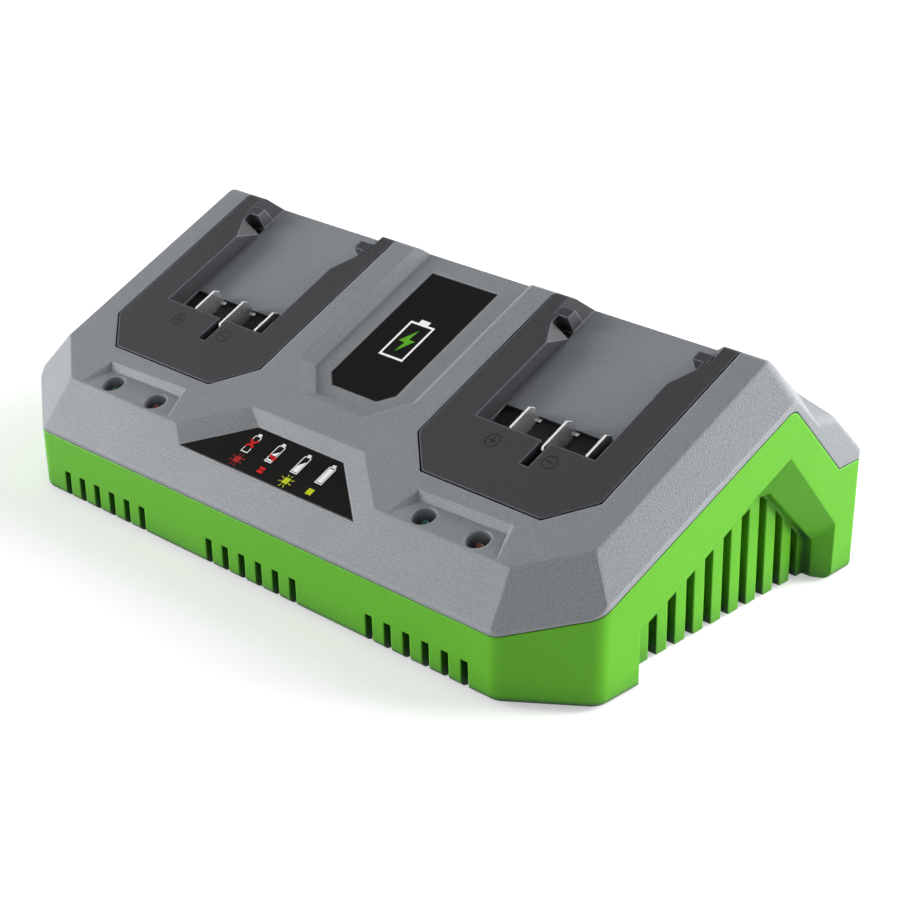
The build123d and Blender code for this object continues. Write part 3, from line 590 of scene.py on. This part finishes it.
def cross():
    x, y = CELL_WIDTH / 2, 3.8
    low_left, high_right = (x - CROSS_REACH, y - CROSS_REACH), (x + CROSS_REACH, y + CROSS_REACH)
    high_left, low_right = (x - CROSS_REACH, y + CROSS_REACH), (x + CROSS_REACH, y - CROSS_REACH)
    return [bar(low_left, high_right, CROSS_WIDTH), bar(high_left, low_right, CROSS_WIDTH)]


def thermometer():
    """Bulb and slanting stem across the cell."""
    bulb, stem_end = (CELL_WIDTH - 0.5, 1.9), (0.1, 2.7)
    return [disc(bulb, radius=0.85), bar(bulb, stem_end, width=0.8)]


def steady_mark():
    half = MARK_SIZE / 2
    return rectangle(-half, -half, half, half)


def split_mark():
    half, gap = MARK_SIZE / 2, 0.2
    return [rectangle(-half, -half, half, -gap), rectangle(-half, gap, half, half)]


def flashing_mark():
    """A square with short strokes round it."""
    strokes = []
    for turn in RAY_TURNS:
        x, y = cos(radians(turn)), sin(radians(turn))
        end = SHORT_RAY_END if turn in RAYS_BELOW_CELL else RAY_END
        strokes.append(bar((x * RAY_START, y * RAY_START), (x * end, y * end), RAY_WIDTH))
    return [steady_mark(), *strokes]


def add_legend():
    """Four states of charge, each above the light that shows it."""
    below_stem = fill(FILL_LOW, left_high=1.3, right_high=1.1)
    above_stem = fill(2.9, left_high=3.1, right_high=4.8)
    half_full = fill(FILL_LOW, left_high=3.0, right_high=5.2)
    full = fill(FILL_LOW, left_high=6.4, right_high=6.4)
    drawings = (
        broken_cell(),
        [*cell(), below_stem, above_stem],
        [*cell(), half_full],
        [*cell(), full],
    )
    cells = [
        outline
        for drawing, across in zip(drawings, CELL_PLACES)
        for outline in moved(drawing, across, CELL_FOOT)
    ]
    faults = [
        *moved(cross(), CELL_PLACES[0], CELL_FOOT),
        *moved(thermometer(), CELL_PLACES[1], CELL_FOOT),
        *moved(split_mark(), *MARK_PLACES[1]),
    ]
    flashing_fault = moved(flashing_mark(), *MARK_PLACES[0])
    charging = [
        *moved(flashing_mark(), *MARK_PLACES[2]),
        *moved([steady_mark()], *MARK_PLACES[3]),
    ]
    over_print = LEGEND_LEVEL + PRINT_THICKNESS
    print_on_deck("charge_symbols", cells, LEGEND_LEVEL, inks["white"])
    print_on_deck("fault_symbols", faults, over_print, inks["red"])
    print_on_deck(
        "flashing_fault_symbol", flashing_fault, LEGEND_LEVEL, inks["dull_red"]
    )
    print_on_deck("charging_symbols", charging, LEGEND_LEVEL, inks["lime"])


# ---------------------------------------------------------------- other marks
def add_charging_symbol():
    """Large cell with a bolt in the middle of the film between the bays."""
    half_width, half_length, stroke = 5.2, 8.0, 0.8
    nub_half_width, nub_length = 2.0, 1.6
    inner_width, inner_length = half_width - stroke, half_length - stroke
    outer = rectangle(-half_width, -half_length, half_width, half_length)
    inner = rectangle(-inner_width, -inner_length, inner_width, inner_length)
    nub = rectangle(-nub_half_width, half_length, nub_half_width, half_length + nub_length)
    zigzag = [(0.8, 5.2), (-2.9, -0.7), (-0.3, -0.7), (-0.8, -5.2), (2.9, 0.7), (0.3, 0.7)]
    case = moved([*hoop(outer, inner), nub], 0, LABEL_MIDDLE)
    bolt = moved([zigzag], 0, LABEL_MIDDLE)
    print_on_deck("charging_cell_symbol", case, LABEL_LEVEL, inks["white"])
    print_on_deck("charging_bolt_symbol", bolt, LABEL_LEVEL, inks["green"])


def add_polarity_marks():
    """A ringed plus and minus beside each bay's blades, near-black as painted groove shade."""
    ring_radius, stroke, reach = 2.6, 0.42, 1.3
    up, from_middle = 36.1, 11.0
    centre, corners = (0, 0), 40
    ring = hoop(disc(centre, ring_radius, corners), disc(centre, ring_radius - stroke, corners))
    minus = bar((-reach, 0), (reach, 0), stroke)
    upper_half = bar((0, stroke / 2), (0, reach), stroke)
    lower_half = bar((0, -reach), (0, -stroke / 2), stroke)
    plus = [minus, upper_half, lower_half]
    for side, bay in BAY_PLACES.items():
        marks = [
            *moved([*ring, *plus], bay - from_middle, up),
            *moved([*ring, minus], bay + from_middle, up),
        ]
        name = f"polarity_marks_{side}"
        print_on_deck(name, marks, 0.0, inks["mark"])


# ---------------------------------------------------------------- light guides
POCKET_SLOPE = radians(14.6)  # of the floor round the lights, from the deck's lower edge
LIGHT_UP_POCKET = 4.5
LIGHT_FROM_BAY = {"green": -10.5, "red": 10.5}
GUIDE_RADIUS = 1.5
FLANGE_RADIUS = 1.9
GUIDE_FOOT, FLANGE_TOP, DOME_FOOT = -9.5, -8.6, -3.0  # out of the pocket's floor
GUIDE_CORNERS = 32
DOME_RINGS = 8


def guide_profile():
    """Radius and height of each ring of a flanged rod, up to just below its domed tip."""
    lifts = [pi / 2 * ring / DOME_RINGS for ring in range(1, DOME_RINGS)]
    return [
        (FLANGE_RADIUS, GUIDE_FOOT),
        (FLANGE_RADIUS, FLANGE_TOP),
        (GUIDE_RADIUS, FLANGE_TOP),
        (GUIDE_RADIUS, DOME_FOOT),
        *((GUIDE_RADIUS * cos(lift), DOME_FOOT + GUIDE_RADIUS * sin(lift)) for lift in lifts),
    ]


def guide_point(axis, radius, height, turn):
    """A point of a guide that stands square to its pocket's floor, with its axis at an x."""
    up = LIGHT_UP_POCKET + radius * sin(turn)
    y, z = DECK_EDGE
    return MM * Vector((
        axis + radius * cos(turn),
        y + up * cos(POCKET_SLOPE) - height * sin(POCKET_SLOPE),
        z + up * sin(POCKET_SLOPE) + height * cos(POCKET_SLOPE),
    ))


def add_light_guides(colour):
    """A guide in front of each board light of one colour."""
    turns = [2 * pi * index / GUIDE_CORNERS for index in range(GUIDE_CORNERS)]
    following = [*range(1, GUIDE_CORNERS), 0]
    form = bmesh.new()
    for bay in BAY_PLACES.values():
        axis = bay + LIGHT_FROM_BAY[colour]
        rings = [
            [form.verts.new(guide_point(axis, radius, height, turn)) for turn in turns]
            for radius, height in guide_profile()
        ]
        tip = form.verts.new(guide_point(axis, 0, DOME_FOOT + GUIDE_RADIUS, 0))
        form.faces.new(rings[0][::-1])
        for low, high in zip(rings, rings[1:]):
            for i, j in enumerate(following):
                form.faces.new([low[i], low[j], high[j], high[i]])
        for i, j in enumerate(following):
            form.faces.new([rings[-1][i], rings[-1][j], tip])
    for face in form.faces:
        face.smooth = len(face.verts) < GUIDE_CORNERS
    lens = f"{colour}_lens"
    piece = add_piece(f"{colour}_light_guides", form, looks[lens])
    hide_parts(f"{colour}_leds")


# ---------------------------------------------------------------- camera, light and floor
CAMERA_PLACE = (469.5, -455.55, 320.6)
CAMERA_AZIMUTH, CAMERA_ELEVATION, CAMERA_ROLL = radians(44.707), radians(24.474), radians(-0.6607)
CAMERA_SENSOR, CAMERA_LENS = 36.0, 91.65
CAMERA_REACH = 10.0  # in metres
LAMPS = {  # azimuth from the right side, elevation and brightness
    "right_light": (45, 16, 1.35),
    "high_light": (55, 38, 0.5),
    "left_light": (210, 8, 1.35),
    "front_light": (285, 16, 0.15),
    "rear_light": (105, 8, 0.25),
}
LAMP_SIZE, LAMP_DISTANCE = 1.0, 1.9  # in metres, as the two below
FLOOR_REACH, FLOOR_GAP = 6.0, 0.0002


def add_camera():
    azimuth, elevation = CAMERA_AZIMUTH, CAMERA_ELEVATION
    away = (sin(azimuth) * cos(elevation), -cos(azimuth) * cos(elevation), sin(elevation))
    back = Vector(away)
    across = Vector((cos(azimuth), sin(azimuth), 0))
    up = back.cross(across)
    turned = Matrix((
        across * cos(CAMERA_ROLL) + up * sin(CAMERA_ROLL),
        up * cos(CAMERA_ROLL) - across * sin(CAMERA_ROLL),
        back,
    ))
    camera = bpy.data.objects.new("camera", bpy.data.cameras.new("camera"))
    camera.data.sensor_width = CAMERA_SENSOR
    camera.data.lens = CAMERA_LENS
    camera.data.clip_end = CAMERA_REACH
    place = Matrix.Translation(Vector(CAMERA_PLACE) * MM)
    camera.matrix_world = place @ turned.transposed().to_4x4()
    bpy.context.scene.collection.objects.link(camera)
    bpy.context.scene.camera = camera


def add_soft_light(name, azimuth, elevation, brightness):
    """Square lamp turned to the object. A white face turned to brightness 1 looks white."""
    lamp = bpy.data.lights.new(name, "AREA")
    lamp.size = LAMP_SIZE
    lamp.energy = brightness * (pi * LAMP_DISTANCE) ** 2
    stand = bpy.data.objects.new(name, lamp)
    turn, lift = radians(azimuth), radians(elevation)
    away = Vector((cos(lift) * cos(turn), cos(lift) * sin(turn), sin(lift)))
    stand.location = away * LAMP_DISTANCE
    stand.rotation_euler = away.to_track_quat("Z", "Y").to_euler()
    bpy.context.scene.collection.objects.link(stand)


def add_floor():
    """Wide pale floor that runs off to the white of the backdrop."""
    mesh = bpy.data.meshes.new("floor")
    mesh.from_pydata(
        [(x, y, 0) for x, y in rectangle(-FLOOR_REACH, -FLOOR_REACH, FLOOR_REACH, FLOOR_REACH)],
        [], [(0, 1, 2, 3)],
    )
    floor = bpy.data.objects.new("floor", mesh)
    floor.location.z = cad_box[0][2] - FLOOR_GAP
    bpy.context.scene.collection.objects.link(floor)
    surface = {"Roughness": 0.9, "Specular IOR Level": 0.0, "Emission Strength": 1.0}
    paint = Paint("pale floor", surface)
    camera_rays, glossy_rays, clear_rays = (
        paint.node("ShaderNodeLightPath", output=kind)
        for kind in ("Is Camera Ray", "Is Glossy Ray", "Is Transmission Ray")
    )
    seen = (camera_rays + glossy_rays + clear_rays).step(0.0, 1.0)
    paint.set("Base Color", (0.8, 0.8, 0.8))
    paint.set("Emission Color", paint.mix(seen, (0.0, 0.0, 0.0), (0.42, 0.42, 0.42)))
    mesh.materials.append(paint.material)


def light_world():
    """Studio that is seen as white, and lights as if it were dim overhead and at the camera."""
    camera_side = (0.703, -0.711, 0.0)
    world = bpy.data.worlds.new("studio")
    world.use_nodes = True
    room = Wiring(world.node_tree)
    way = room.node("ShaderNodeTexCoord", output="Generated")
    overhead = room.dot(way, (0.0, 0.0, 1.0)).step(0.08, 0.6)
    front = room.dot(way, camera_side).step(0.55, 0.95) * (1 - overhead)
    unseen = 1 - room.node("ShaderNodeLightPath", output="Is Camera Ray")
    level = 1 - (overhead * 0.8 + front * 0.85) * unseen
    room.plug(world.node_tree.nodes["Background"].inputs["Color"], level)
    bpy.context.scene.world = world


add_legend()
add_charging_symbol()
add_polarity_marks()
for light_colour in LIGHT_FROM_BAY:
    add_light_guides(light_colour)
add_camera()
for lamp_name, lamp_settings in LAMPS.items():
    add_soft_light(lamp_name, *lamp_settings)
add_floor()
light_world()
bpy.context.scene.view_settings.view_transform = "Standard"
